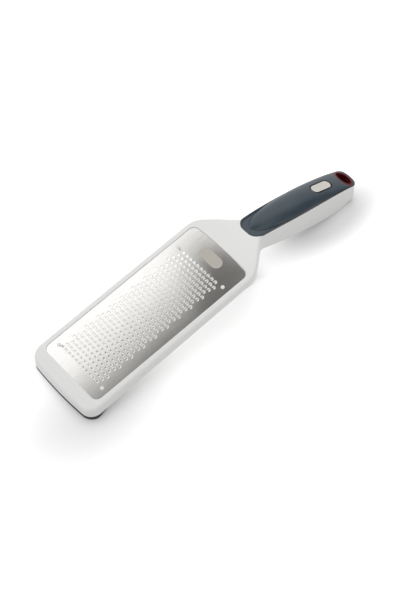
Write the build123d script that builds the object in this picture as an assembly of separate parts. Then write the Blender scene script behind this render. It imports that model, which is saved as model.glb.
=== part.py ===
"""Rasp zester: a wide steel rasp plate staked into a white frame, with a soft dark grip.

The tool lies as it rests on a table: the front foot and the heel of the handle touch z = 0.
X runs from the front foot to the handle tip, Y to the left, Z up, in millimetres.
It is built with x = 0 at the front and moved at the end, so that the origin is under its middle.
"""

import os
from math import cos, radians, sin, sqrt, tan

from build123d import *
from build123d.topology import SkipClean

# Rasp plate, in its own plane: u runs back from its front edge, v across, w up from its top face
PLATE_LENGTH = 154.2
PLATE_WIDTH = 64.2
PLATE_THICKNESS = 0.4
PLATE_CORNER_RADIUS = 5.5
PLATE_REAR_BOW = 1.4
PLATE_FRONT_X = 11.7
PLATE_FRONT_Z = 14.4
PLATE_TILT_DEGREES = 9.5
PLATE_FIT = 0.15
MARK_LENGTH = 9.7
MARK_WIDTH = 22.8
MARK_DEPTH = 0.05
MARK_REAR_GAP = 10.4

# Rasp teeth: as many rows and teeth as the field between these gaps takes
FIELD_FRONT_GAP = 11.9
FIELD_REAR_GAP = 22.3
FIELD_SIDE_GAP = 11.3
FIELD_OFFSET = 0.7
ROW_PITCH = 4.0
TOOTH_PITCH = 4.16
SHIFT_CYCLE = 3
TOOTH_WIDTH = 3.1
TOOTH_LENGTH = 2.8
TOOTH_NOSE = 0.75
TOOTH_HEIGHT = 0.7
TOOTH_ROOT = 0.2
TOOTH_HOLE_WIDTH = 1.6
TOOTH_HOLE_LENGTH = 1.7
TOOTH_FRONT_LAND = 0.3

# Stakes that hold the plate down, placed from the plate's front, rear and side edges
STAKE_FRONT_GAP = 10.6
STAKE_REAR_GAP = 21.4
STAKE_SIDE_GAP = 6.0
STAKE_RADIUS = 1.1
STAKE_FIT = 0.12
STAKE_HEAD_RADIUS = 1.6
STAKE_HEAD_HEIGHT = 0.6
STAKE_BOSS_RADIUS = 3.4

# White frame round the plate
RAIL_WIDTH = 5.1
RIM_HEIGHT = 0.6
FRONT_WALL_TOP = 10.6
FRONT_BOW = 2.0
FRONT_CORNER_RADIUS = 10.5
FRONT_SLOPE_RADIUS = 14.0
RAIL_EDGE_RADIUS = 2.6
LOWER_EDGE_RADIUS = 2.6
WALL = 2.9
ROOF = 3.2
LEDGE = 2.6
FRONT_LEDGE = 6.5
WINDOW_CORNER_RADIUS = 4.5
RAIL_BOTTOM_FRONT = 0.9
RAIL_END_GAP = 23.5
RAIL_END_DEPTH = 8.3

# Shoulder, placed behind the plate's rear edge, and its ribs
SHOULDER_CORNER_GAP = 3.8
SHOULDER_CORNER_RADIUS = 18.0
SHOULDER_ANGLE_DEGREES = 41.92
SHOULDER_TOP_GAP = 14.5
SHOULDER_RISE = 2.05
NECK_STEP = 4.4
NECK_RADIUS = 10.0
NECK_LAP = 10.6
NECK_LENGTH = 12.0
BULKHEAD_GAP = 2.0
RIB_THICKNESS = 1.8
RIB_SPACING = 11.0
RIB_INSET = 3.0
CROSS_WALL_GAP = 4.0
CROSS_WALL_THICKNESS = 2.0

# Handle, from the front of the grip to the tip
HANDLE_LENGTH = 116.0
HANDLE_WIDTH = 25.2
HANDLE_WIDEST_SHARE = 0.4267
TIP_NARROWING = 2.54
TIP_CORNER_RADIUS = 6.0
TIP_BOW = 1.6
TIP_BOTTOM = 1.4
HEEL_GAP = 16.0
HANDLE_FLOOR = 3.0
TUB_FRONT_GAP = 6.0
TUB_REAR_GAP = 18.0
TUB_CORNER_RADIUS = 5.0
PEG_RADIUS = 2.0
PEG_FIT = 0.05
PEG_BOSS_RADIUS = 4.2
PEG_DEPTH = 5.0
PEG_BASE_GAP = 1.0
PEG_SHARES = [0.16, 0.5, 0.84]

# Soft grip and its core
SEAT_RISE = 1.15
GRIP_ROUNDING_SHARE = 0.8
GRIP_FLANGE = 1.25
FLANGE_RIM = 1.3
FLANGE_VALLEY = 0.6
FLANGE_END_SHARE = 0.4655
CROWN = 6.6
DOME_NOSE_GAP = 5.0
DOME_SKIRT = 1.5
DOME_SINK = 0.4
DOME_OVERLAP = 0.25
SKIN = 2.2
CORE_FIRST_SHARE = 0.05
CORE_LAST_SHARE = 0.81
CORE_PLUG_DEPTH = 3.0
CORE_FIT = 0.15

# Badge, bare metal, placed from the tip
BADGE_TIP_GAP = 33.4
BADGE_LENGTH = 20.2
BADGE_WIDTH = 8.0
BADGE_THICKNESS = 0.9
BADGE_GAP = 1.0
BADGE_PAD_THICKNESS = 0.3
BADGE_PAD_INSET = 0.9
BADGE_TILT_DEGREES = 17.5
BADGE_SINK = 0.4
BADGE_CROWN_SHARE = 0.70

# Hanging hole and its liner, placed from the tip and from the handle's widest sides
HOLE_TIP_GAP = 7.1
HOLE_LENGTH = 9.0
HOLE_SIDE_GAP = 4.8
LINER_WALL = 1.6

# Front foot
FOOT_LENGTH = 21.3
FOOT_TAPER = 12.0
FOOT_DEPTH = 2.2
FOOT_INSET = 0.25
FOOT_WIDTH = 6.0
FOOT_KEY_THICKNESS = 1.5
FOOT_KEY_HEIGHT = 3.0

# One overrun serves every cut that has to pass through a face
OVERRUN = 1.0
REACH = 400.0
BISECTIONS = 40

# A face counts as level above the first of these upward shares of its normal, as a wall below the second
LEVEL_SHARE = 0.5
WALL_SHARE = 0.3

# Places along the handle, as shares of the run from the grip's front to the tip and of the seat's top
SEAT_SHARES = [
    (0.0, 0.985),
    (0.13, 0.955),
    (0.32, 0.873),
    (0.51, 0.780),
    (0.705, 0.672),
    (0.90, 0.526),
    (1.0, 0.42),
]
# The white top stands above that seat by these shares of the crown, at the same places
TOP_RISE_SHARES = [0.19, 0.33, 0.6, 0.6, 0.6, 0.6, 0.6]
# Underside from the heel forward: shares of the run from the rails' end to the heel and of the seat's top
UNDERSIDE_SHARES = [
    (0.9054, 0.024),
    (0.7524, 0.150),
    (0.6014, 0.288),
    (0.4524, 0.450),
    (0.3219, 0.607),
    (0.2199, 0.725),
    (0.1077, 0.748),
]
# Dome of the grip: place, half width and height, as shares of its run, the handle and the crown
DOME_SHARES = [
    (0.0, 0.10, 0.10),
    (0.02, 0.38, 0.28),
    (0.06, 0.62, 0.50),
    (0.13, 0.79, 0.72),
    (0.24, 0.91, 0.93),
    (0.36, 0.98, 0.99),
    (0.50, 1.0, 1.0),
    (0.62, 1.0, 0.86),
    (0.70, 1.0, 0.70),
    (0.80, 1.0, 0.52),
    (0.92, 1.0, 0.32),
    (1.03, 1.0, 0.15),
]

# Sizes and places worked out from the ones above: the plate's
PLATE_TILT = radians(PLATE_TILT_DEGREES)
PLATE_REAR_X = PLATE_FRONT_X + PLATE_LENGTH * cos(PLATE_TILT)
PLATE_REAR_Z = PLATE_FRONT_Z + PLATE_LENGTH * sin(PLATE_TILT)
BLADE = Plane(
    origin=(PLATE_FRONT_X, 0, PLATE_FRONT_Z),
    x_dir=(cos(PLATE_TILT), 0, sin(PLATE_TILT)),
    z_dir=(-sin(PLATE_TILT), 0, cos(PLATE_TILT)),
)
ROW_COUNT = 1 + round((PLATE_LENGTH - FIELD_FRONT_GAP - FIELD_REAR_GAP) / ROW_PITCH)
TEETH_PER_ROW = 1 + round((PLATE_WIDTH - 2 * FIELD_SIDE_GAP) / TOOTH_PITCH)

# The frame's and the shoulder's
HALF_FRAME = PLATE_WIDTH / 2 + RAIL_WIDTH
FRAME_WIDTH = 2 * HALF_FRAME
HALF_HANDLE = HANDLE_WIDTH / 2
RAIL_END_X = PLATE_REAR_X - RAIL_END_GAP
RAIL_END_Z = PLATE_REAR_Z - RAIL_END_GAP * tan(PLATE_TILT) - RAIL_END_DEPTH
SHOULDER_CORNER_X = PLATE_REAR_X + SHOULDER_CORNER_GAP
SHOULDER_TOP_X = PLATE_REAR_X + SHOULDER_TOP_GAP
SHOULDER_TOP = PLATE_REAR_Z + SHOULDER_RISE
SHOULDER_END_SIDE = HALF_HANDLE - NECK_STEP
SHOULDER_END_X = SHOULDER_CORNER_X + (HALF_FRAME - SHOULDER_END_SIDE) / tan(radians(SHOULDER_ANGLE_DEGREES))

# The handle's and the grip's
GRIP_FRONT_X = SHOULDER_END_X - NECK_LAP
TOTAL_LENGTH = GRIP_FRONT_X + HANDLE_LENGTH
SEAT_TOP = PLATE_REAR_Z + SEAT_RISE
NECK_END_X = GRIP_FRONT_X + NECK_LENGTH
BULKHEAD_X = GRIP_FRONT_X + BULKHEAD_GAP
TUB_FRONT_X = GRIP_FRONT_X + TUB_FRONT_GAP
TUB_REAR_X = TOTAL_LENGTH - TUB_REAR_GAP
DOME_NOSE_X = GRIP_FRONT_X + DOME_NOSE_GAP
FLANGE_END_X = GRIP_FRONT_X + FLANGE_END_SHARE * HANDLE_LENGTH
HEEL_X = TOTAL_LENGTH - HEEL_GAP
BADGE_X = TOTAL_LENGTH - BADGE_TIP_GAP
HOLE_X = TOTAL_LENGTH - HOLE_TIP_GAP
HOLE_WIDTH = HANDLE_WIDTH - 2 * HOLE_SIDE_GAP
HANDLE_WIDEST_X = GRIP_FRONT_X + HANDLE_WIDEST_SHARE * HANDLE_LENGTH
TIP_RUN = TOTAL_LENGTH - TIP_BOW - HANDLE_WIDEST_X
HANDLE_SIDE_RADIUS = (TIP_RUN**2 + TIP_NARROWING**2) / (2 * TIP_NARROWING)


def side_of_handle(x):
    """Half width of the handle at x, on its long side arc."""
    away = x - HANDLE_WIDEST_X
    return HALF_HANDLE - HANDLE_SIDE_RADIUS + sqrt(HANDLE_SIDE_RADIUS**2 - away**2)


def blade_point(u, w):
    """Point of the side view at u along the plate and w above its top face."""
    x = PLATE_FRONT_X + u * cos(PLATE_TILT) - w * sin(PLATE_TILT)
    z = PLATE_FRONT_Z + u * sin(PLATE_TILT) + w * cos(PLATE_TILT)
    return (x, 0, z)


def mirrored_face(half_lines):
    """Face between a half outline and its mirror image across the middle plane."""
    half = Curve() + half_lines
    return make_face(half + mirror(half, about=Plane.XZ))


def near_corners(face, x, y):
    """The two corners of a symmetric face nearest to (x, y) and (x, -y)."""
    left = face.vertices().sort_by_distance((x, y, 0))[0]
    right = face.vertices().sort_by_distance((x, -y, 0))[0]
    return [left, right]


def upright(face):
    """A plan face made into a tall prism."""
    return Pos(0, 0, -REACH) * extrude(face, amount=2 * REACH, dir=(0, 0, 1))


def side_prism(face):
    """A side-view face made into a prism across the tool."""
    return Pos(0, -FRAME_WIDTH, 0) * extrude(face, amount=2 * FRAME_WIDTH, dir=(0, 1, 0))


def slab(x_front, x_rear, width):
    """A tall block between two places along the tool."""
    length = x_rear - x_front
    return Pos(x_front + length / 2, 0, 0) * Box(length, width, 2 * REACH)


def height_on(curve, x):
    """Height of a side-view curve at x, where x grows or falls all along it."""
    low = 0.0
    high = 1.0
    rising = (curve @ 1).X > (curve @ 0).X
    for _ in range(BISECTIONS):
        middle = (low + high) / 2
        if ((curve @ middle).X < x) == rising:
            low = middle
        else:
            high = middle
    return (curve @ low).Z


def raised(shape, height):
    """The shape moved straight up."""
    return Pos(0, 0, height) * shape


def handle_outline(front_x, front_radius):
    """Plan of the handle from front_x to the rounded tip."""
    tip_side = side_of_handle(TOTAL_LENGTH - TIP_BOW)
    front_side = side_of_handle(front_x)
    side = ThreePointArc(
        (front_x, front_side),
        (HANDLE_WIDEST_X, HALF_HANDLE),
        (TOTAL_LENGTH - TIP_BOW, tip_side),
    )
    end = TangentArc((TOTAL_LENGTH, 0), (TOTAL_LENGTH - TIP_BOW, tip_side), tangent=(0, 1))
    face = mirrored_face([Line((front_x, 0), (front_x, front_side)), side, end])
    face = fillet(near_corners(face, TOTAL_LENGTH - TIP_BOW, tip_side), TIP_CORNER_RADIUS)
    if front_radius > 0:
        face = fillet(near_corners(face, front_x, front_side), front_radius)
    return face


def body_outline():
    """Plan of the whole white body: frame, shoulder, neck and handle."""
    frame = mirrored_face([
        TangentArc((0, 0), (FRONT_BOW, HALF_FRAME), tangent=(0, 1)),
        Line((FRONT_BOW, HALF_FRAME), (SHOULDER_CORNER_X, HALF_FRAME)),
        Line((SHOULDER_CORNER_X, HALF_FRAME), (SHOULDER_END_X, SHOULDER_END_SIDE)),
        Line((SHOULDER_END_X, SHOULDER_END_SIDE), (SHOULDER_END_X, 0)),
    ])
    frame = fillet(near_corners(frame, 0, HALF_FRAME), FRONT_CORNER_RADIUS)
    frame = fillet(near_corners(frame, SHOULDER_CORNER_X, HALF_FRAME), SHOULDER_CORNER_RADIUS)
    face = frame + handle_outline(GRIP_FRONT_X, 0)
    neck = near_corners(face, SHOULDER_END_X - SHOULDER_END_SIDE / 2, HALF_HANDLE)
    return fillet(neck, NECK_RADIUS)


def seat_points(rises):
    """Side view of the grip's seat, with each point raised by its share of the crown."""
    points = []
    for (along, height), rise in zip(SEAT_SHARES, rises):
        points.append((GRIP_FRONT_X + along * HANDLE_LENGTH, 0, height * SEAT_TOP + rise * CROWN))
    return points


def underside_curve():
    """Side view of the underside from the tip forward to the end of the straight rails."""
    run = HEEL_X - RAIL_END_X
    points = [(TOTAL_LENGTH, 0, TIP_BOTTOM), (HEEL_X, 0, 0)]
    for along, height in UNDERSIDE_SHARES:
        points.append((RAIL_END_X + along * run, 0, height * SEAT_TOP))
    points.append((RAIL_END_X, 0, RAIL_END_Z))
    tip_slope = (-TOTAL_LENGTH, 0, -TIP_BOTTOM)
    rail_slope = (-RAIL_END_X, 0, RAIL_BOTTOM_FRONT - RAIL_END_Z)
    return Spline(points, tangents=[tip_slope, rail_slope])


SEAT = Spline(seat_points([0] * len(SEAT_SHARES)))
UNDERSIDE = underside_curve()


def body_side():
    """Side view of the white body, filled, and carried past its front and its tip."""
    fold = (0, 0, FRONT_WALL_TOP)
    rim_front = blade_point(-PLATE_FIT, RIM_HEIGHT)
    rim_rear = blade_point(PLATE_LENGTH + PLATE_REAR_BOW, RIM_HEIGHT)
    slope = (rim_front[2] - FRONT_WALL_TOP) / rim_front[0]
    rail_slope = (RAIL_END_Z - RAIL_BOTTOM_FRONT) / RAIL_END_X
    front_top = (-OVERRUN, 0, FRONT_WALL_TOP - slope * OVERRUN)
    front_bottom = (-OVERRUN, 0, RAIL_BOTTOM_FRONT - rail_slope * OVERRUN)
    top = Spline(
        [rim_rear, (SHOULDER_TOP_X, 0, SHOULDER_TOP)] + seat_points(TOP_RISE_SHARES),
        tangents=[(cos(PLATE_TILT), 0, sin(PLATE_TILT)), SEAT % 1],
    )
    tip_top = (TOTAL_LENGTH + OVERRUN, 0, (top @ 1).Z)
    tip_bottom = (TOTAL_LENGTH + OVERRUN, 0, TIP_BOTTOM)
    face = make_face([
        Line(front_bottom, front_top),
        Line(front_top, rim_front),
        Line(rim_front, rim_rear),
        top,
        Line(top @ 1, tip_top),
        Line(tip_top, tip_bottom),
        Line(tip_bottom, UNDERSIDE @ 0),
        UNDERSIDE,
        Line(UNDERSIDE @ 1, front_bottom),
    ])
    rim_corner = face.vertices().sort_by_distance(rim_front)[0]
    return fillet(rim_corner, FRONT_SLOPE_RADIUS)


def outer_edges(solid, facing):
    """Edges where the walls of the frame meet its upper (facing 1) or lower (facing -1) faces."""
    level = ShapeList()
    walls = ShapeList()
    for face in solid.faces():
        normal = face.normal_at()
        if normal.Z * facing > LEVEL_SHARE:
            level += face.edges()
        elif abs(normal.Z) < WALL_SHARE and abs(face.center().X - NECK_END_X) > PLATE_FIT:
            walls += face.edges()
    return ShapeList([edge for edge in level if edge in walls])


def prism_above(curve, front_x, rear_x):
    """Everything above a side-view curve, carried on level before and behind it."""
    start = curve @ 0
    end = curve @ 1
    face = make_face([
        Line((front_x, 0, start.Z), start),
        curve,
        Line(end, (rear_x, 0, end.Z)),
        Line((rear_x, 0, end.Z), (rear_x, 0, REACH)),
        Line((rear_x, 0, REACH), (front_x, 0, REACH)),
        Line((front_x, 0, REACH), (front_x, 0, start.Z)),
    ])
    return side_prism(face)


OUTLINE = body_outline()
SIDE = side_prism(body_side())
BLANK = upright(OUTLINE) & SIDE
ABOVE_SEAT = prism_above(SEAT, GRIP_FRONT_X - OVERRUN, TOTAL_LENGTH + DOME_SKIRT + HOLE_LENGTH)
ABOVE_TABLE = Pos(TOTAL_LENGTH / 2, 0, REACH / 2) * Box(REACH, REACH, REACH)
GRIP_OUTLINE = handle_outline(GRIP_FRONT_X, GRIP_ROUNDING_SHARE * side_of_handle(GRIP_FRONT_X))
GRIP_PRISM = upright(GRIP_OUTLINE)


def rounded_blank():
    """The white body as a full block with its upper and lower outer edges rounded."""
    front = BLANK & slab(-OVERRUN, NECK_END_X, FRAME_WIDTH + OVERRUN)
    front = fillet(outer_edges(front, 1), RAIL_EDGE_RADIUS)
    front = fillet(outer_edges(front, -1), LOWER_EDGE_RADIUS)
    rear = BLANK & slab(NECK_END_X, TOTAL_LENGTH + OVERRUN, FRAME_WIDTH + OVERRUN)
    return front + fillet(outer_edges(rear, -1), LOWER_EDGE_RADIUS)


ROUNDED_BLANK = rounded_blank()


def plate_outline(grow):
    """Plan of the rasp plate in its own plane, with its rear edge bowed, made larger by grow."""
    half = PLATE_WIDTH / 2 + grow
    rear = PLATE_LENGTH + grow
    half_lines = [
        Line((-grow, 0), (-grow, half)),
        Line((-grow, half), (rear, half)),
        TangentArc((rear + PLATE_REAR_BOW, 0), (rear, half), tangent=(0, 1)),
    ]
    face = mirrored_face(half_lines)
    corners = near_corners(face, 0, half) + near_corners(face, rear, half)
    return fillet(corners, PLATE_CORNER_RADIUS + grow)


def stake_places():
    """Where the four stakes stand, in the plane of the plate."""
    side = PLATE_WIDTH / 2 - STAKE_SIDE_GAP
    return [(u, v) for u in (STAKE_FRONT_GAP, PLATE_LENGTH - STAKE_REAR_GAP) for v in (-side, side)]


def window_outline():
    """The opening under the plate, left clear by the ledge and the four stake ears."""
    half = PLATE_WIDTH / 2 - LEDGE
    rear = PLATE_LENGTH - FRONT_LEDGE
    face = Pos((FRONT_LEDGE + rear) / 2, 0) * Rectangle(rear - FRONT_LEDGE, 2 * half)
    face = fillet(face.vertices(), WINDOW_CORNER_RADIUS)
    for u, v in stake_places():
        face -= Pos(u, v) * Circle(STAKE_BOSS_RADIUS)
        side = 1 if v > 0 else -1
        web = half - abs(v) + OVERRUN
        face -= Pos(u, v + side * web / 2) * Rectangle(2 * STAKE_BOSS_RADIUS, web)
    return face


def stakes():
    """Four posts on the ledge, each with the domed head that holds the plate down."""
    shapes = []
    length = PLATE_THICKNESS + OVERRUN
    for u, v in stake_places():
        post = Pos(u, v, -length / 2) * Cylinder(STAKE_RADIUS, length)
        head = Pos(u, v, STAKE_HEAD_HEIGHT / 2) * Cylinder(STAKE_HEAD_RADIUS, STAKE_HEAD_HEIGHT)
        top = head.edges().sort_by(Axis.Z)[-1]
        head = fillet(top, STAKE_HEAD_HEIGHT - STAKE_FIT)
        shapes.append(BLADE * (post + head))
    return shapes


def tooth_places():
    """Places of all teeth in the plane of the plate, with the three-row shift."""
    places = []
    middle = (TEETH_PER_ROW - 1) / 2
    for row in range(ROW_COUNT):
        u = FIELD_FRONT_GAP + row * ROW_PITCH
        step = 1 - row % SHIFT_CYCLE
        shift = FIELD_OFFSET + step * TOOTH_PITCH / SHIFT_CYCLE
        for column in range(TEETH_PER_ROW):
            places.append((u, shift + (middle - column) * TOOTH_PITCH))
    return places


def tooth():
    """Wedge with a chamfered nose: level with the plate in front, high towards the handle."""
    front = -TOOTH_LENGTH / 2
    rear = TOOTH_LENGTH / 2
    half = TOOTH_WIDTH / 2
    outline = make_face(Polyline(
        (front, -half),
        (rear - TOOTH_NOSE, -half),
        (rear, TOOTH_NOSE - half),
        (rear, half - TOOTH_NOSE),
        (rear - TOOTH_NOSE, half),
        (front, half),
        close=True,
    ))
    slope = make_face(Polyline(
        (front, 0, -TOOTH_ROOT),
        (rear, 0, -TOOTH_ROOT),
        (rear, 0, TOOTH_HEIGHT),
        (front, 0, 0),
        close=True,
    ))
    return upright(outline) & side_prism(slope)


def tooth_hole():
    """Cutting hole that leaves a raised lip on three sides of a tooth."""
    start = TOOTH_FRONT_LAND - TOOTH_LENGTH / 2
    hole = Rectangle(TOOTH_HOLE_LENGTH, TOOTH_HOLE_WIDTH, align=(Align.MIN, Align.CENTER))
    return upright(Pos(start, 0) * hole)


def rasp_plate():
    """Thin steel plate with its stake holes, bare mark and raised rasp teeth."""
    plate = extrude(plate_outline(0), amount=-PLATE_THICKNESS)
    mark = Pos(PLATE_LENGTH - MARK_REAR_GAP, 0) * SlotOverall(MARK_WIDTH, MARK_LENGTH, rotation=90)
    plate -= extrude(mark, amount=-MARK_DEPTH)
    wedge = tooth()
    hole = tooth_hole()
    stake_hole = upright(Circle(STAKE_RADIUS + STAKE_FIT))
    holes = [Pos(u, v, 0) * hole for u, v in tooth_places()]
    holes += [Pos(u, v, 0) * stake_hole for u, v in stake_places()]
    with SkipClean():
        plate = plate.fuse(*[Pos(u, v, 0) * wedge for u, v in tooth_places()])
        plate = plate.cut(*holes)
    return BLADE * plate


def tub_outline(inset):
    """Plan of the handle's inner tub, made smaller by inset."""
    front = TUB_FRONT_X + inset
    rear = TUB_REAR_X - inset
    cut = WALL + inset
    face = mirrored_face([
        Line((front, 0), (front, side_of_handle(front) - cut)),
        ThreePointArc(
            (front, side_of_handle(front) - cut),
            (HANDLE_WIDEST_X, HALF_HANDLE - cut),
            (rear, side_of_handle(rear) - cut),
        ),
        Line((rear, side_of_handle(rear) - cut), (rear, 0)),
    ])
    corners = near_corners(face, front, HALF_HANDLE) + near_corners(face, rear, HALF_HANDLE)
    return fillet(corners, TUB_CORNER_RADIUS - inset)


def peg_places():
    """Places of the core's pegs along the tub."""
    run = TUB_REAR_X - TUB_FRONT_X
    return [TUB_FRONT_X + share * run for share in PEG_SHARES]


def peg_prisms(radius):
    """Upright round columns at the pegs."""
    return Sketch() + [Pos(x, 0) * Circle(radius) for x in peg_places()]


def hole_prism(grow):
    """Upright oval column of the hanging hole, made larger by grow."""
    oval = Pos(HOLE_X, 0) * Ellipse(HOLE_LENGTH / 2 + grow, HOLE_WIDTH / 2 + grow)
    return upright(oval)


def frame_body():
    """White moulding: frame with ledge and stakes, shoulder with ribs, and handle tub."""
    body = ROUNDED_BLANK
    inner = upright(offset(OUTLINE, amount=-WALL))
    body -= inner & slab(-OVERRUN, BULKHEAD_X, FRAME_WIDTH) & raised(SIDE, -ROOF)
    cross_x = blade_point(PLATE_LENGTH + CROSS_WALL_GAP, 0)[0]
    walls = slab(cross_x, cross_x + CROSS_WALL_THICKNESS, FRAME_WIDTH)
    for side in (-1, 0, 1):
        walls += Pos(0, side * RIB_SPACING, 0) * slab(cross_x, BULKHEAD_X + OVERRUN, RIB_THICKNESS)
    walls = walls & upright(offset(OUTLINE, amount=-WALL / 2))
    body += walls & SIDE & raised(SIDE, RIB_INSET) & raised(SIDE, -ROOF / 2)
    body -= BLADE * Pos(0, 0, -PLATE_THICKNESS) * extrude(plate_outline(PLATE_FIT), amount=ROOF)
    body -= BLADE * Pos(0, 0, -OVERRUN - ROOF) * extrude(window_outline(), amount=ROOF + OVERRUN)
    body += stakes()
    cutter = GRIP_PRISM + slab(NECK_END_X, TOTAL_LENGTH + OVERRUN, FRAME_WIDTH)
    body -= cutter & ABOVE_SEAT
    body -= upright(tub_outline(0)) & raised(SIDE, HANDLE_FLOOR)
    below_plug = SIDE - raised(ABOVE_SEAT, -CORE_PLUG_DEPTH)
    above_base = raised(ABOVE_SEAT, -CORE_PLUG_DEPTH - PEG_DEPTH - PEG_BASE_GAP)
    body += upright(peg_prisms(PEG_BOSS_RADIUS)) & below_plug
    body -= upright(peg_prisms(PEG_RADIUS + PEG_FIT)) & below_plug & above_base
    body -= hole_prism(LINER_WALL)
    return body & ABOVE_TABLE


def dome(shrink, first, last):
    """Domed top of the handle between two places, made smaller all round by shrink."""
    sections = []
    run = TOTAL_LENGTH - DOME_NOSE_X
    for along, width, height in DOME_SHARES:
        if along < first or along > last:
            continue
        x = DOME_NOSE_X + along * run
        half = (side_of_handle(x) + DOME_OVERLAP) * width - shrink
        rise = height * CROWN + DOME_SINK - shrink
        base = height_on(SEAT, min(x, TOTAL_LENGTH)) - DOME_SINK
        plane = Plane(origin=(x, 0, base), x_dir=(0, 1, 0), z_dir=(1, 0, 0))
        arch = Curve() + [
            EllipticalCenterArc((0, 0), half, rise, start_angle=0, arc_size=180),
            Line((-half, 0), (-half, -DOME_SKIRT)),
            Line((-half, -DOME_SKIRT), (half, -DOME_SKIRT)),
            Line((half, -DOME_SKIRT), (half, 0)),
        ]
        sections.append(plane * make_face(arch))
    return loft(sections) & GRIP_PRISM & ABOVE_SEAT


def badge_prism(grow, low, high):
    """Stadium-shaped block on the slope of the handle at the badge."""
    top = height_on(SEAT, BADGE_X) + BADGE_CROWN_SHARE * CROWN
    face = SlotOverall(BADGE_LENGTH + 2 * grow, BADGE_WIDTH + 2 * grow)
    block = extrude(face, amount=high - low)
    return Pos(BADGE_X, 0, top) * Rot(0, BADGE_TILT_DEGREES, 0) * Pos(0, 0, low) * block


def grip():
    """Soft skin: a thin rimmed flange round its front, rising to the dome, with its badge seat and hole."""
    flange = GRIP_PRISM & ABOVE_SEAT & slab(GRIP_FRONT_X - OVERRUN, FLANGE_END_X, FRAME_WIDTH)
    flange -= raised(ABOVE_SEAT, GRIP_FLANGE)
    flange -= upright(offset(GRIP_OUTLINE, amount=-FLANGE_RIM)) & raised(ABOVE_SEAT, FLANGE_VALLEY)
    skin = flange + dome(0, 0, 2)
    skin -= dome(SKIN, CORE_FIRST_SHARE, CORE_LAST_SHARE)
    floor = -BADGE_SINK - BADGE_THICKNESS - BADGE_PAD_THICKNESS
    skin -= badge_prism(BADGE_GAP, floor, CROWN)
    skin -= hole_prism(LINER_WALL)
    return skin


def grip_core():
    """Stiff core: the dome inside the skin, a plug in the tub and pegs in its bosses."""
    core = dome(SKIN, CORE_FIRST_SHARE, CORE_LAST_SHARE)
    plug = upright(tub_outline(CORE_FIT)) & raised(ABOVE_SEAT, -CORE_PLUG_DEPTH)
    core += plug - ABOVE_SEAT
    pegs = upright(peg_prisms(PEG_RADIUS)) & raised(ABOVE_SEAT, -CORE_PLUG_DEPTH - PEG_DEPTH)
    core += pegs - ABOVE_SEAT
    return core


def hang_liner():
    """Coloured oval tube through the tip."""
    tube = hole_prism(LINER_WALL) - hole_prism(0)
    return tube & (dome(0, 0, 2) + (SIDE - ABOVE_SEAT))


def below_foot_taper():
    """What the foot leaves free behind its sole, where it thins out under each rail."""
    rail_slope = (RAIL_END_Z - RAIL_BOTTOM_FRONT) / RAIL_END_X
    start = FOOT_LENGTH - FOOT_TAPER
    low = RAIL_BOTTOM_FRONT + rail_slope * start - FOOT_DEPTH
    high = RAIL_BOTTOM_FRONT + rail_slope * FOOT_LENGTH + LOWER_EDGE_RADIUS
    rise = (high - low) / FOOT_TAPER
    return side_prism(make_face(Polyline(
        (start - OVERRUN, 0, low - rise * OVERRUN),
        (FOOT_LENGTH + OVERRUN, 0, high + rise * OVERRUN),
        (FOOT_LENGTH + OVERRUN, 0, low - rise * OVERRUN),
        close=True,
    )))


def front_foot():
    """Soft foot under the front of the frame, keyed inside its wall, with a sole flat on the table."""
    outer = offset(OUTLINE, amount=-FOOT_INSET)
    inner = offset(OUTLINE, amount=-FOOT_WIDTH)
    strip = upright(outer) - upright(inner)
    strip = strip & raised(SIDE, -FOOT_DEPTH)
    strip -= ROUNDED_BLANK
    key = upright(offset(OUTLINE, amount=-WALL))
    key -= upright(offset(OUTLINE, amount=-WALL - FOOT_KEY_THICKNESS))
    key = (key & raised(SIDE, -FOOT_DEPTH)) - raised(SIDE, FOOT_KEY_HEIGHT)
    foot = strip + key - below_foot_taper()
    return foot & slab(-OVERRUN, FOOT_LENGTH, FRAME_WIDTH) & ABOVE_TABLE


def badge():
    """Bare metal badge."""
    return badge_prism(0, -BADGE_SINK - BADGE_THICKNESS, -BADGE_SINK)


def badge_pad():
    """Thin bonding pad under the badge."""
    low = -BADGE_SINK - BADGE_THICKNESS - BADGE_PAD_THICKNESS
    return badge_prism(-BADGE_PAD_INSET, low, low + BADGE_PAD_THICKNESS)


PIECES = {
    "frame_body": frame_body,
    "rasp_plate": rasp_plate,
    "front_foot": front_foot,
    "grip_core": grip_core,
    "grip": grip,
    "badge": badge,
    "badge_pad": badge_pad,
    "hang_liner": hang_liner,
}

if __name__ == "__main__":
    os.makedirs("parts", exist_ok=True)
    for name, make in PIECES.items():
        export_step(Pos(-TOTAL_LENGTH / 2, 0, 0) * make(), f"parts/{name}.step")
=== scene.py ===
"""Looks of a rasp zester: brushed steel rasp plate, gloss white frame, soft dark grip.

Everything is in metres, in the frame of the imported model: +X from the front foot to the
handle tip, +Y to the left, +Z up from the table that the tool rests on.
"""

from math import cos, pi, radians, sin

import bpy
from mathutils import Matrix, Vector


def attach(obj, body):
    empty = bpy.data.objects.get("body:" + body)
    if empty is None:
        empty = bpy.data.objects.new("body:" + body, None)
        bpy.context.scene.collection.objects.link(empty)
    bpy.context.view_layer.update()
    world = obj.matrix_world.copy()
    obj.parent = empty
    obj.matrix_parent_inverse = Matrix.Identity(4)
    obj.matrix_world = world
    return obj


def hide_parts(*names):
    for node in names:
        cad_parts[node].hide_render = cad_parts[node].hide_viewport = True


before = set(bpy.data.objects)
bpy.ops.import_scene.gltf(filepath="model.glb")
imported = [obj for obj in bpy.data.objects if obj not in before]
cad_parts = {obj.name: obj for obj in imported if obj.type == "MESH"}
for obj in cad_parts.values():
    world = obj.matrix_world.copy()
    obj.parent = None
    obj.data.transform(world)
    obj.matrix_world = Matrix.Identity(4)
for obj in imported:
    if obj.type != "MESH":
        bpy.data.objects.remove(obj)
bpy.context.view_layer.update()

MM = 0.001

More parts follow.
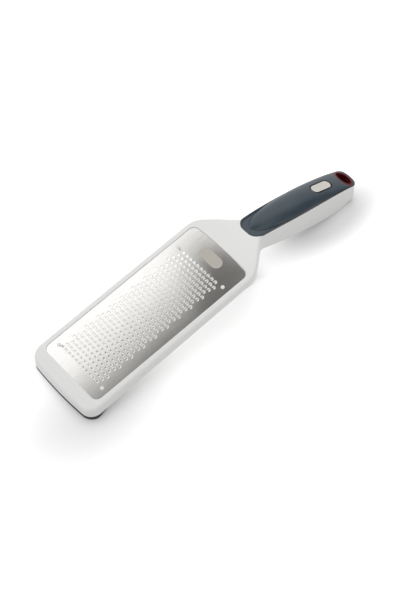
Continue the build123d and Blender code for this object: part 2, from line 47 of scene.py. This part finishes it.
# Rasp plate: u runs back from its front edge, v across, w up from its top face
PLATE_ORIGIN = Vector((-140.942, 0, 14.4)) * MM
PLATE_TILT = radians(9.5)
PLATE_LENGTH = 154.2 * MM
PLATE_WIDTH = 64.2 * MM
PLATE_THICKNESS = 0.4 * MM
PLATE_CORNER_RADIUS = 5.5 * MM
PLATE_CORNER_STEPS = 10
PLATE_REAR_BOW = 1.4 * MM
PLATE_REAR_STEPS = 12
PLATE_EDGE_ROUNDING = 0.06 * MM
PLATE_EDGE_STEPS = 1

# Etched mark on the plate, a film that lies just above it
MARK_CENTRE = 143.8 * MM
MARK_LENGTH = 9.7 * MM
MARK_WIDTH = 22.8 * MM
MARK_LIFT = 0.02 * MM
MARK_END_STEPS = 16

# Holes for the stakes
STAKE_PLACES = [(u * MM, v * MM) for u in (10.6, 132.8) for v in (-26.1, 26.1)]
STAKE_HOLE_RADIUS = 1.22 * MM
STAKE_HOLE_SIDES = 16

# Rows of teeth
ROW_COUNT = 31
TEETH_PER_ROW = 11
ROW_PITCH = 4.0 * MM
TOOTH_PITCH = 4.16 * MM
FIRST_ROW = 11.9 * MM
SHIFT_CYCLE = 3
FIELD_OFFSET = 0.7 * MM

# Hole and lip of one tooth, both shaped like a horseshoe that is open to the front
HOLE_FRONT = -0.95 * MM
HOLE_REAR = 0.7 * MM
HOLE_HALF_WIDTH = 0.9 * MM
LIP_FRONT = -1.4 * MM
LIP_REAR = 0.6 * MM
LIP_HALF_WIDTH = 0.9 * MM
LIP_WIDTH = 0.72 * MM
LIP_HEIGHT = 0.5 * MM
LIP_FRONT_SHARE = 0.6
HORSESHOE_ROUNDING = 0.55
HORSESHOE_STEPS = 4

# Section of the lip as shares of its width outwards and of its height, outer side first
LIP_SECTION = (
    (1.0, -0.02),
    (0.8, 0.17),
    (0.45, 0.58),
    (0.06, 0.97),
    (-0.02, 1.0),
    (-0.05, 0.92),
    (0.12, -0.05),
)

# How many edges of that section, from its first, are shaded as curved
OUTER_STEPS = 4

# Painted shade in and just round the badge recess in the grip: its middle along the tool, its
# shape, and how dark the painted shade is
BADGE_X = 119.24 * MM
RECESS_HALF_STRAIGHT = 5.8 * MM
RECESS_RADIUS = 5.35 * MM
RECESS_BLEND = 0.2 * MM
PAINTED_RECESS_SHADE = 0.12

# Grip seen from above: where its rounded front ends, where it is widest, and its sides
GRIP_NOSE_END = 46.9 * MM
GRIP_WIDEST_X = 86.1 * MM
GRIP_HALF_WIDTH = 12.6 * MM
GRIP_SIDE_RADIUS = 830 * MM

# Painted shade along the grip's edge: shares of its half width over which it turns dark, and how
# dark the edge is
PAINTED_GRIP_EDGE_SHARES = (0.86, 0.94)
PAINTED_GRIP_EDGE_SHADE = 0.25

# Two colours of each material, which it varies between
WHITE_COLOURS = ((0.825, 0.825, 0.815), (0.855, 0.855, 0.845))
GRIP_COLOURS = ((0.019, 0.038, 0.056), (0.026, 0.048, 0.069))
FOOT_COLOURS = ((0.007, 0.009, 0.018), (0.012, 0.015, 0.027))
LINER_COLOURS = ((0.11, 0.003, 0.005), (0.15, 0.005, 0.008))
CORE_COLOURS = ((0.28, 0.28, 0.29), (0.32, 0.32, 0.33))
PAD_COLOURS = ((0.03, 0.03, 0.03), (0.05, 0.05, 0.05))
MARK_COLOURS = ((0.48, 0.46, 0.415), (0.56, 0.535, 0.48))
BADGE_COLOURS = ((0.58, 0.555, 0.52), (0.78, 0.755, 0.71))
STEEL_COLOURS = ((0.855, 0.845, 0.825), (0.935, 0.925, 0.91))
PAPER_COLOURS = ((0.84, 0.84, 0.84), (0.86, 0.86, 0.86))

# Grain of plastic and rubber
MOTTLE_SCALE = 55.0
SCUFF_SCALE = 420.0
SCUFF_RANGE = (0.35, 0.75)
SWELL_SCALE = 140.0
SWELL_STRENGTH = 0.08
SWELL_DISTANCE = 0.1 * MM
RIPPLE_DISTANCE = 0.02 * MM

# Grain of the cast badge
CASTING_SCALE = 900.0
CASTING_STRENGTH = 0.8
CASTING_DISTANCE = 0.25 * MM

# Brushed steel: scratches, bands and blotches
LINE_STRETCH = (60, 5200, 5200)
LINE_STRENGTH = 0.1
LINE_DISTANCE = 0.02 * MM
BAND_STRETCH = (30, 520, 520)
BAND_RANGE = (0.35, 0.65)
BLOTCH_SCALE = 38.0
BLOTCH_RANGE = (0.3, 0.7)
STEEL_ROUGHNESS = (0.13, 0.18)

# Card that gloss reflections see: its outline seen from above, and its height
CARD_HEIGHT = 0.25
CARD_OUTLINE = (
    (-0.5, -0.05),
    (0.2, -0.05),
    (0.2, -0.6),
    (0.8, -0.6),
    (0.8, 0.25),
    (0.35, 0.25),
    (0.35, 0.6),
    (-0.5, 0.6),
)

# Glow and colour of the card's dark and light sides, and where across it the glow rises
CARD_GLOW = (0.13, 1.15)
CARD_COLOURS = ((1, 0.985, 0.95), (1, 1, 1))
CARD_RISE_Y = (0.076, 0.132)

# Start and end along the tool of each place where that rise moves across, and how far
CARD_STEPS = ((-0.015, 0.02, 0.025), (0.045, 0.09, -0.14))

# Where along the tool the card's glow fades, and the shares it fades between
CARD_FADE_X = (0.3, 0.4)
CARD_FADE = (1.0, 0.6)

# Paper floor and its lift to white
FLOOR_SIZE = 12
PAPER_GRAIN = 400
PAPER_ROUGHNESS = 0.9
PAPER_LIFT = 0.48

# Patches of the floor with a lift of their own: painted shadows in ovals beside the handle and at
# the front, and painted shade and light in a box under the plate. Each blends into the open floor
# from its start share to its edge.
PAINTED_HANDLE_SHADOW_CENTRE = (0.12, -0.012, 0)
PAINTED_HANDLE_SHADOW_HALF_SIZE = (0.075, 0.036, 1)
PAINTED_HANDLE_SHADOW_START = 0.3
LIFT_IN_PAINTED_HANDLE_SHADOW = 0.06
PAINTED_FRONT_SHADOW_CENTRE = (-0.148, -0.03, 0)
PAINTED_FRONT_SHADOW_HALF_SIZE = (0.1, 0.07, 1)
PAINTED_FRONT_SHADOW_START = 0.0
LIFT_IN_PAINTED_FRONT_SHADOW = 0.08
PAINTED_UNDER_PLATE_CENTRE = (-0.045, 0.015, 0)
PAINTED_UNDER_PLATE_HALF_SIZE = (0.095, 0.039, 1)
PAINTED_UNDER_PLATE_START = 0.6

# Lift under the plate, painted shade on the right and painted light on the left: it grows from
# none on the right to more than the open floor's on the left, and how far that moves across along
# the tool
PAINTED_UNDER_PLATE_Y = (-0.008, 0.026)
PAINTED_UNDER_PLATE_LIFT = (0.0, 0.8)
SEEN_THROUGH_X = (-0.13, 0.0)
SEEN_THROUGH_SHIFT = (0.009, 0.02)

# Light: strength of the world where it lights and where it is seen, and two soft boxes
WHITE = (1, 1, 1, 1)
WORLD_STRENGTH = (0.6, 1.0)
KEY_PLACE = (-0.1, 0.9, 1.4)
KEY_SIZE = 2.8
KEY_POWER = 12
FILL_PLACE = (0.6, 0.2, 1.3)
FILL_SIZE = 0.9
FILL_POWER = 2
LAMP_TARGET = (0, 0, 0)

# Camera at the photograph's viewing angle
CAMERA_PLACE = Vector((-0.49965, -0.5631, 1.0288))
CAMERA_TARGET = Vector((-0.01395, -0.0047, 0))
CAMERA_LENS = 95.84
CAMERA_SENSOR = 36.0
CAMERA_CLIP_START = 0.01


class Nodes:
    """A node tree, with short calls for making and joining its nodes."""

    def __init__(self, tree):
        self.tree = tree

    def make(self, kind, **settings):
        node = self.tree.nodes.new(kind)
        for key, value in settings.items():
            setattr(node, key, value)
        return node

    def join(self, source, target):
        self.tree.links.new(source, target)

    def feed(self, value, target):
        """Joins a socket to the target, or gives the target a number."""
        if isinstance(value, bpy.types.NodeSocket):
            self.join(value, target)
        else:
            target.default_value = value

    def place(self):
        """Object coordinates of the shaded point."""
        return self.make("ShaderNodeTexCoord").outputs["Object"]

    def split(self, vector=None):
        """X and Y of a vector, or of the shaded point."""
        node = self.make("ShaderNodeSeparateXYZ")
        self.join(vector or self.place(), node.inputs["Vector"])
        return node.outputs["X"], node.outputs["Y"]

    def stretched(self, scale):
        """Object coordinates multiplied by a vector."""
        mapping = self.make("ShaderNodeMapping")
        mapping.inputs["Scale"].default_value = scale
        self.join(self.place(), mapping.inputs["Vector"])
        return mapping.outputs["Vector"]

    def noise(self, scale, detail=3.0, roughness=0.5, vector=None):
        node = self.make("ShaderNodeTexNoise")
        node.inputs["Scale"].default_value = scale
        node.inputs["Detail"].default_value = detail
        node.inputs["Roughness"].default_value = roughness
        self.join(vector or self.place(), node.inputs["Vector"])
        return node.outputs["Fac"]

    def remap(self, source, low, high, to_low, to_high, kind="LINEAR"):
        """Value moved from one range to another, whose ends are numbers or sockets."""
        node = self.make("ShaderNodeMapRange", interpolation_type=kind)
        node.inputs["From Min"].default_value = low
        node.inputs["From Max"].default_value = high
        self.feed(to_low, node.inputs["To Min"])
        self.feed(to_high, node.inputs["To Max"])
        self.join(source, node.inputs["Value"])
        return node.outputs["Result"]

    def between(self, factor, first, second):
        """Colour between two colours."""
        node = self.make("ShaderNodeMix", data_type="RGBA")
        node.inputs["A"].default_value = (*first, 1)
        node.inputs["B"].default_value = (*second, 1)
        self.join(factor, node.inputs["Factor"])
        return node.outputs["Result"]

    def bump(self, height, strength, distance, below=None):
        node = self.make("ShaderNodeBump")
        node.inputs["Strength"].default_value = strength
        node.inputs["Distance"].default_value = distance
        self.join(height, node.inputs["Height"])
        if below:
            self.join(below, node.inputs["Normal"])
        return node.outputs["Normal"]

    def maths(self, operation, *values):
        """One arithmetic step on sockets and numbers."""
        node = self.make("ShaderNodeMath", operation=operation)
        for value, target in zip(values, node.inputs):
            self.feed(value, target)
        return node.outputs["Value"]

    def vector_maths(self, operation, first, second=None):
        """One step on a vector, with a constant vector where it needs one."""
        node = self.make("ShaderNodeVectorMath", operation=operation)
        self.join(first, node.inputs[0])
        if second:
            node.inputs[1].default_value = second
        return node.outputs["Value" if operation == "LENGTH" else "Vector"]

    def length(self, first, second):
        """Length of the step made of two sockets at right angles."""
        both = self.make("ShaderNodeCombineXYZ")
        self.join(first, both.inputs["X"])
        self.join(second, both.inputs["Y"])
        return self.vector_maths("LENGTH", both.outputs["Vector"])


class Surface(Nodes):
    """A material and its nodes, round one principled shader."""

    def __init__(self, name):
        self.material = bpy.data.materials.new(name)
        self.material.use_nodes = True
        super().__init__(self.material.node_tree)
        self.tree.nodes.clear()
        self.output = self.make("ShaderNodeOutputMaterial")
        self.shader = self.make("ShaderNodeBsdfPrincipled")
        self.join(self.shader.outputs["BSDF"], self.output.inputs["Surface"])

    def set(self, **values):
        """Constant values straight on the shader's sockets."""
        for key, value in values.items():
            self.shader.inputs[key.replace("_", " ")].default_value = value

    def drive(self, socket, source):
        self.join(source, self.shader.inputs[socket])

    def source_of(self, socket):
        """The socket that drives one of the shader's inputs."""
        return self.shader.inputs[socket].links[0].from_socket


def moulded_plastic(name, colours, roughness, grain=2600.0, depth=0.12, scuffing=0.09):
    """Moulded plastic: faint mottling, fine surface ripple and handling scuffs."""
    surface = Surface(name)
    mottle = surface.noise(MOTTLE_SCALE, detail=4.0)
    surface.drive("Base Color", surface.between(mottle, *colours))
    scuffs = surface.noise(SCUFF_SCALE, detail=6.0, roughness=0.7)
    scuffed = surface.remap(scuffs, *SCUFF_RANGE, roughness, roughness + scuffing)
    surface.drive("Roughness", scuffed)
    ripple = surface.noise(grain, detail=2.0)
    swell = surface.noise(SWELL_SCALE, detail=1.0)
    fine = surface.bump(ripple, depth, RIPPLE_DISTANCE)
    surface.drive("Normal", surface.bump(swell, SWELL_STRENGTH, SWELL_DISTANCE, below=fine))
    surface.set(Specular_IOR_Level=0.5)
    return surface


def white_plastic():
    """Gloss white plastic of the frame, almost without grain or scuffs."""
    surface = moulded_plastic(
        "white_plastic", WHITE_COLOURS, roughness=0.3, grain=1400.0, depth=0.01, scuffing=0.03
    )
    return surface.material


def core_plastic():
    """Plain grey plastic of the hidden core."""
    return moulded_plastic("core_plastic", CORE_COLOURS, roughness=0.5).material


def soft_rubber(name, colours, roughness):
    """Soft-touch rubber: finely grained, slightly paler at grazing angles."""
    surface = moulded_plastic(name, colours, roughness, grain=5200.0)
    surface.set(Sheen_Weight=0.04, Sheen_Roughness=0.5)
    return surface


def foot_rubber():
    """Nearly black rubber of the front foot."""
    return soft_rubber("foot_rubber", FOOT_COLOURS, roughness=0.5).material


def pad_rubber():
    """Dark bonding pad under the badge."""
    return soft_rubber("badge_pad", PAD_COLOURS, roughness=0.6).material


def painted_recess_shade(surface, x, y):
    """Painted shade: dark in the badge recess, 1 outside it."""
    past_middle = surface.maths("ABSOLUTE", surface.maths("SUBTRACT", x, BADGE_X))
    past_straight = surface.maths("SUBTRACT", past_middle, RECESS_HALF_STRAIGHT)
    beyond = surface.maths("MAXIMUM", past_straight, 0.0)
    rim = (RECESS_RADIUS, RECESS_RADIUS + RECESS_BLEND)
    return surface.remap(surface.length(beyond, y), *rim, PAINTED_RECESS_SHADE, 1.0)


def painted_grip_edge_shade(surface, x, y):
    """1 on the middle of the grip, painted shade along its edge."""
    from_widest = surface.maths("POWER", surface.maths("SUBTRACT", x, GRIP_WIDEST_X), 2.0)
    narrowing = surface.maths("DIVIDE", from_widest, 2 * GRIP_SIDE_RADIUS)
    half_width = surface.maths("SUBTRACT", GRIP_HALF_WIDTH, narrowing)
    ahead = surface.maths("MINIMUM", surface.maths("SUBTRACT", x, GRIP_NOSE_END), 0.0)
    share = surface.maths("DIVIDE", surface.length(ahead, y), half_width)
    return surface.remap(share, *PAINTED_GRIP_EDGE_SHARES, 1.0, PAINTED_GRIP_EDGE_SHADE)


def grip_rubber():
    """The grip's rubber, with painted shade along its edge and in the badge recess."""
    surface = soft_rubber("grip_rubber", GRIP_COLOURS, roughness=0.34)
    x, y = surface.split()
    recess = painted_recess_shade(surface, x, y)
    edge = painted_grip_edge_shade(surface, x, y)
    # Painted shade: the rubber's colour darkened by the recess and edge masks
    painted_shading = surface.make("ShaderNodeVectorMath", operation="SCALE")
    surface.join(surface.source_of("Base Color"), painted_shading.inputs["Vector"])
    surface.join(surface.maths("MULTIPLY", recess, edge), painted_shading.inputs["Scale"])
    surface.drive("Base Color", painted_shading.outputs["Vector"])
    surface.set(Specular_IOR_Level=0.7, Sheen_Weight=0.0)
    return surface.material


def liner_plastic():
    """Deep red plastic of the hanging hole's liner."""
    surface = moulded_plastic("liner_plastic", LINER_COLOURS, roughness=0.36)
    surface.set(Specular_IOR_Level=0.3)
    return surface.material


def frosted_mark():
    """The bare etched mark: frosted, and duller than the brushed plate round it."""
    surface = moulded_plastic("etched_mark", MARK_COLOURS, roughness=0.5)
    surface.set(Metallic=0.4)
    return surface.material


def cast_badge():
    """The badge's metal, cast with a fine grain."""
    surface = moulded_plastic(
        "badge_metal", BADGE_COLOURS, roughness=0.3, grain=1500.0, depth=0.6
    )
    casting = surface.noise(CASTING_SCALE, detail=3.0, roughness=0.7)
    smooth = surface.source_of("Normal")
    rough = surface.bump(casting, CASTING_STRENGTH, CASTING_DISTANCE, below=smooth)
    surface.drive("Normal", rough)
    surface.set(Metallic=1.0)
    return surface.material


def brushed_steel():
    """Rolled and brushed steel: long fine scratches, soft bands and blotches."""
    surface = Surface("rasp_steel")
    lines = surface.noise(1.0, detail=5.0, roughness=0.65, vector=surface.stretched(LINE_STRETCH))
    bands = surface.noise(1.0, detail=5.0, roughness=0.9, vector=surface.stretched(BAND_STRETCH))
    blotches = surface.noise(BLOTCH_SCALE, detail=4.0)
    share = surface.remap(bands, *BAND_RANGE, 0.0, 1.0)
    surface.drive("Base Color", surface.between(share, *STEEL_COLOURS))
    surface.drive("Roughness", surface.remap(blotches, *BLOTCH_RANGE, *STEEL_ROUGHNESS))
    surface.drive("Normal", surface.bump(lines, LINE_STRENGTH, LINE_DISTANCE))
    surface.set(Metallic=1.0)
    return surface.material


def arc(centre, radius, start, end, steps):
    """Points on an arc in the plate's plane, both ends included."""
    points = []
    for step in range(steps + 1):
        angle = start + (end - start) * step / steps
        points.append((centre[0] + radius * cos(angle), centre[1] + radius * sin(angle)))
    return points


def plate_outline():
    """Rounded rectangle with a bowed rear edge."""
    radius = PLATE_CORNER_RADIUS
    side = PLATE_WIDTH / 2 - radius
    rear = PLATE_LENGTH
    steps = PLATE_CORNER_STEPS
    points = arc((radius, -side), radius, 1.5 * pi, pi, steps)
    points += arc((radius, side), radius, pi, 0.5 * pi, steps)
    points += arc((rear - radius, side), radius, 0.5 * pi, 0, steps)
    for step in range(1, PLATE_REAR_STEPS):
        along = step / PLATE_REAR_STEPS
        bow = PLATE_REAR_BOW * (1 - (2 * along - 1) ** 2)
        points.append((rear + bow, side * (1 - 2 * along)))
    return points + arc((rear - radius, -side), radius, 0, -0.5 * pi, steps)


def horseshoe(front, rear, half_width):
    """Path from an open front end round a closed rear and back."""
    radius = half_width * HORSESHOE_ROUNDING
    side = half_width - radius
    bend = (front + rear) / 2 - radius / 2
    points = [(front, -half_width), (bend, -half_width)]
    points += arc((rear - radius, -side), radius, -0.5 * pi, 0, HORSESHOE_STEPS)
    points += arc((rear - radius, side), radius, 0, 0.5 * pi, HORSESHOE_STEPS)
    return points + [(bend, half_width), (front, half_width)]


def mark_outline():
    """Stadium lying across the plate."""
    radius = MARK_LENGTH / 2
    side = (MARK_WIDTH - MARK_LENGTH) / 2
    points = arc((MARK_CENTRE, side), radius, 0, pi, MARK_END_STEPS)
    return points + arc((MARK_CENTRE, -side), radius, pi, 2 * pi, MARK_END_STEPS)


def stake_hole(place):
    """Round hole for a stake."""
    steps = STAKE_HOLE_SIDES - 1
    return arc(place, STAKE_HOLE_RADIUS, 0, 2 * pi * steps / STAKE_HOLE_SIDES, steps)


def tooth_places():
    """Places of all teeth, with the three-row shift."""
    places = []
    middle = (TEETH_PER_ROW - 1) / 2
    for row in range(ROW_COUNT):
        u = FIRST_ROW + row * ROW_PITCH
        shift = FIELD_OFFSET + (1 - row % SHIFT_CYCLE) * TOOTH_PITCH / SHIFT_CYCLE
        places += [(u, shift + (middle - column) * TOOTH_PITCH) for column in range(TEETH_PER_ROW)]
    return places


def plate_matrix():
    """From the plate's plane to the model's frame."""
    along = Vector((cos(PLATE_TILT), 0, sin(PLATE_TILT)))
    up = Vector((-sin(PLATE_TILT), 0, cos(PLATE_TILT)))
    across = up.cross(along)
    turn = Matrix((along, across, up)).transposed().to_4x4()
    return Matrix.Translation(PLATE_ORIGIN) @ turn


def new_object(name, mesh, material):
    """A piece of the tool with its first material, riding on the root."""
    obj = bpy.data.objects.new(name, mesh)
    bpy.context.scene.collection.objects.link(obj)
    mesh.materials.append(material)
    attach(obj, "root")
    return obj


def sheet_mesh():
    """The plate's flat sheet with all its holes, as a filled curve made into a mesh."""
    curve = bpy.data.curves.new("plate_sheet", "CURVE")
    curve.dimensions = "2D"
    curve.fill_mode = "BOTH"
    curve.extrude = PLATE_THICKNESS / 2 - PLATE_EDGE_ROUNDING
    curve.bevel_depth = PLATE_EDGE_ROUNDING
    curve.bevel_resolution = PLATE_EDGE_STEPS
    hole = horseshoe(HOLE_FRONT, HOLE_REAR, HOLE_HALF_WIDTH)
    loops = [plate_outline()]
    loops += [stake_hole(place) for place in STAKE_PLACES]
    loops += [[(u + x, v + y) for x, y in hole] for u, v in tooth_places()]
    for loop in loops:
        spline = curve.splines.new("POLY")
        spline.points.add(len(loop) - 1)
        for point, (x, y) in zip(spline.points, loop):
            point.co = (x, y, 0, 1)
        spline.use_cyclic_u = True
    holder = bpy.data.objects.new("plate_sheet_curve", curve)
    mesh = bpy.data.meshes.new_from_object(holder)
    bpy.data.objects.remove(holder)
    bpy.data.curves.remove(curve)
    mesh.transform(Matrix.Translation((0, 0, -PLATE_THICKNESS / 2)))
    return mesh


def lip_verts():
    """Vertices of one tooth's lip, which leans over its hole and is highest at the rear."""
    path = horseshoe(LIP_FRONT, LIP_REAR, LIP_HALF_WIDTH)
    verts = []
    for index, (x, y) in enumerate(path):
        share = (x - LIP_FRONT) / (LIP_REAR - LIP_FRONT)
        height = LIP_HEIGHT * (LIP_FRONT_SHARE + (1 - LIP_FRONT_SHARE) * share)
        before = Vector(path[max(index - 1, 0)])
        after = Vector(path[min(index + 1, len(path) - 1)])
        way = (after - before).normalized()
        out = Vector((way.y, -way.x))
        for away, up in LIP_SECTION:
            shifted = (x + out.x * LIP_WIDTH * away, y + out.y * LIP_WIDTH * away)
            verts.append((*shifted, height * up))
    return verts


def lip_faces(vert_count):
    """Faces of one tooth's closed lip, and which of them are curved."""
    size = len(LIP_SECTION)
    faces = [tuple(range(size)), tuple(reversed(range(vert_count - size, vert_count)))]
    curved = [False, False]
    for row_start in range(0, vert_count - size, size):
        for step in range(size):
            first = row_start + step
            second = row_start + (step + 1) % size
            faces.append((first, first + size, second + size, second))
            curved.append(step < OUTER_STEPS)
    return faces, curved


def rasp_plate():
    """The steel plate: sheet, teeth and mark as one mesh in place of the CAD plate."""
    sheet = sheet_mesh()
    verts = [tuple(vertex.co) for vertex in sheet.vertices]
    faces = [tuple(polygon.vertices) for polygon in sheet.polygons]
    smooth = [False] * len(faces)
    tooth_verts = lip_verts()
    tooth_faces, tooth_curved = lip_faces(len(tooth_verts))
    for u, v in tooth_places():
        start = len(verts)
        verts += [(x + u, y + v, z) for x, y, z in tooth_verts]
        faces += [tuple(start + index for index in face) for face in tooth_faces]
        smooth += tooth_curved
    materials = [0] * len(faces)

    start = len(verts)
    verts += [(x, y, MARK_LIFT) for x, y in mark_outline()]
    faces.append(tuple(range(start, len(verts))))
    smooth.append(False)
    materials.append(1)

    mesh = bpy.data.meshes.new("rasp_plate_formed")
    mesh.from_pydata(verts, [], faces)
    mesh.transform(plate_matrix())
    plate = new_object("rasp_plate_formed", mesh, brushed_steel())
    mesh.materials.append(frosted_mark())
    mesh.polygons.foreach_set("material_index", materials)
    mesh.polygons.foreach_set("use_smooth", smooth)
    mesh.update()
    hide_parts("rasp_plate")


def dress(node, material):
    """Gives a CAD node's object its material."""
    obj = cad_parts[node]
    obj.data.materials.clear()
    obj.data.materials.append(material)


def area_lamp(name, place, size, power):
    """A square soft box aimed at the lamps' target."""
    data = bpy.data.lights.new(name, "AREA")
    data.shape = "SQUARE"
    data.size = size
    data.energy = power
    lamp = bpy.data.objects.new(name, data)
    lamp.location = place
    aim = Vector(LAMP_TARGET) - Vector(place)
    lamp.rotation_euler = aim.to_track_quat("-Z", "Y").to_euler()
    bpy.context.scene.collection.objects.link(lamp)
    return lamp


def seen_white(nodes):
    """1 where the camera, a gloss reflection or a clear material looks, 0 for light itself."""
    path = nodes.make("ShaderNodeLightPath")
    seen = nodes.maths("MAXIMUM", path.outputs["Is Camera Ray"], path.outputs["Is Glossy Ray"])
    return nodes.maths("MAXIMUM", seen, path.outputs["Is Transmission Ray"])


def steps_from(nodes, centre, half_size):
    """Step from a patch's centre to the shaded point, in half sizes of the patch."""
    centred = nodes.vector_maths("SUBTRACT", nodes.place(), centre)
    return nodes.vector_maths("DIVIDE", centred, half_size)


def painted_shadow_lift(nodes, centre, half_size, start, lowest):
    """Painted shadow on the floor: lift that grows from its lowest inside an oval patch to the
    open floor's at its edge.
    """
    distance = nodes.vector_maths("LENGTH", steps_from(nodes, centre, half_size))
    return nodes.remap(distance, start, 1.0, lowest, PAPER_LIFT, kind="SMOOTHSTEP")


def painted_under_plate_lift(nodes):
    """Painted shade and light on the paper seen through the teeth: no lift on the plate's right,
    more to its left.
    """
    x, y = nodes.split()
    shift = nodes.remap(x, *SEEN_THROUGH_X, *SEEN_THROUGH_SHIFT)
    across = nodes.maths("SUBTRACT", y, shift)
    return nodes.remap(across, *PAINTED_UNDER_PLATE_Y, *PAINTED_UNDER_PLATE_LIFT)


def paper_lift(nodes):
    """How far the paper is lifted to white, on the open floor and in its three patches of painted
    shadow, shade and light.
    """
    painted_handle_shadow = (PAINTED_HANDLE_SHADOW_CENTRE, PAINTED_HANDLE_SHADOW_HALF_SIZE, PAINTED_HANDLE_SHADOW_START)
    painted_front_shadow = (PAINTED_FRONT_SHADOW_CENTRE, PAINTED_FRONT_SHADOW_HALF_SIZE, PAINTED_FRONT_SHADOW_START)
    handle = painted_shadow_lift(nodes, *painted_handle_shadow, LIFT_IN_PAINTED_HANDLE_SHADOW)
    front = painted_shadow_lift(nodes, *painted_front_shadow, LIFT_IN_PAINTED_FRONT_SHADOW)
    open_lift = nodes.maths("MINIMUM", handle, front)
    steps = steps_from(nodes, PAINTED_UNDER_PLATE_CENTRE, PAINTED_UNDER_PLATE_HALF_SIZE)
    along, across = nodes.split(nodes.vector_maths("ABSOLUTE", steps))
    distance = nodes.maths("MAXIMUM", along, across)
    lifts = (painted_under_plate_lift(nodes), open_lift)
    return nodes.remap(distance, PAINTED_UNDER_PLATE_START, 1.0, *lifts, kind="SMOOTHSTEP")


def grey_card():
    """Graded card over the tool that only gloss reflections see: it shades the steel."""
    verts = [(x, y, CARD_HEIGHT) for x, y in CARD_OUTLINE]
    mesh = bpy.data.meshes.new("grey_card")
    mesh.from_pydata(verts, [], [tuple(range(len(verts)))])
    card = bpy.data.objects.new("grey_card", mesh)
    bpy.context.scene.collection.objects.link(card)
    surface = Surface("grey_card")
    surface.tree.nodes.remove(surface.shader)
    along, across = surface.split()
    for start, end, step in CARD_STEPS:
        shift = surface.remap(along, start, end, 0.0, step)
        across = surface.maths("SUBTRACT", across, shift)
    light = surface.remap(across, *CARD_RISE_Y, 0.0, 1.0)
    level = surface.remap(light, 0.0, 1.0, *CARD_GLOW)
    fade = surface.remap(along, *CARD_FADE_X, *CARD_FADE)
    glow = surface.make("ShaderNodeEmission")
    surface.join(surface.between(light, *CARD_COLOURS), glow.inputs["Color"])
    surface.join(surface.maths("MULTIPLY", level, fade), glow.inputs["Strength"])
    surface.join(glow.outputs["Emission"], surface.output.inputs["Surface"])
    mesh.materials.append(surface.material)
    card.visible_camera = False
    card.visible_diffuse = False
    card.visible_shadow = False
    card.visible_transmission = False


def surroundings():
    """White world, which lights less strongly than it looks."""
    world = bpy.data.worlds.new("studio")
    bpy.context.scene.world = world
    world.use_nodes = True
    nodes = Nodes(world.node_tree)
    back = nodes.tree.nodes["Background"]
    strength = nodes.remap(seen_white(nodes), 0.0, 1.0, *WORLD_STRENGTH)
    nodes.join(strength, back.inputs["Strength"])
    back.inputs["Color"].default_value = WHITE


def paper_floor():
    """Pale paper under the tool, lifted to white where it is seen, with painted shadows beside the
    handle and at the front and painted shade and light under the plate.
    """
    bpy.ops.mesh.primitive_plane_add(size=FLOOR_SIZE)
    floor = bpy.context.object
    floor.name = "floor"
    surface = Surface("paper")
    grain = surface.make("ShaderNodeTexNoise")
    grain.inputs["Scale"].default_value = PAPER_GRAIN
    surface.drive("Base Color", surface.between(grain.outputs["Fac"], *PAPER_COLOURS))
    surface.set(Roughness=PAPER_ROUGHNESS, Specular_IOR_Level=0.0, Emission_Color=WHITE)
    lift = surface.maths("MULTIPLY", seen_white(surface), paper_lift(surface))
    surface.drive("Emission Strength", lift)
    floor.data.materials.append(surface.material)


def lamps():
    """Large soft light from above on the tool's left, and a weak fill from past the handle."""
    key = area_lamp("key", KEY_PLACE, KEY_SIZE, KEY_POWER)
    key.visible_glossy = False
    area_lamp("fill", FILL_PLACE, FILL_SIZE, FILL_POWER)


def camera():
    """Camera at the photograph's viewing angle."""
    data = bpy.data.cameras.new("camera")
    data.lens = CAMERA_LENS
    data.sensor_width = CAMERA_SENSOR
    data.sensor_height = CAMERA_SENSOR
    data.sensor_fit = "AUTO"
    data.clip_start = CAMERA_CLIP_START
    obj = bpy.data.objects.new("camera", data)
    obj.location = CAMERA_PLACE
    obj.rotation_euler = (CAMERA_TARGET - CAMERA_PLACE).to_track_quat("-Z", "Y").to_euler()
    bpy.context.scene.collection.objects.link(obj)
    bpy.context.scene.camera = obj


rasp_plate()
dress("frame_body", white_plastic())
dress("front_foot", foot_rubber())
dress("grip", grip_rubber())
dress("grip_core", core_plastic())
dress("badge", cast_badge())
dress("badge_pad", pad_rubber())
dress("hang_liner", liner_plastic())
surroundings()
paper_floor()
lamps()
grey_card()
camera()
bpy.context.scene.view_settings.view_transform = "Standard"
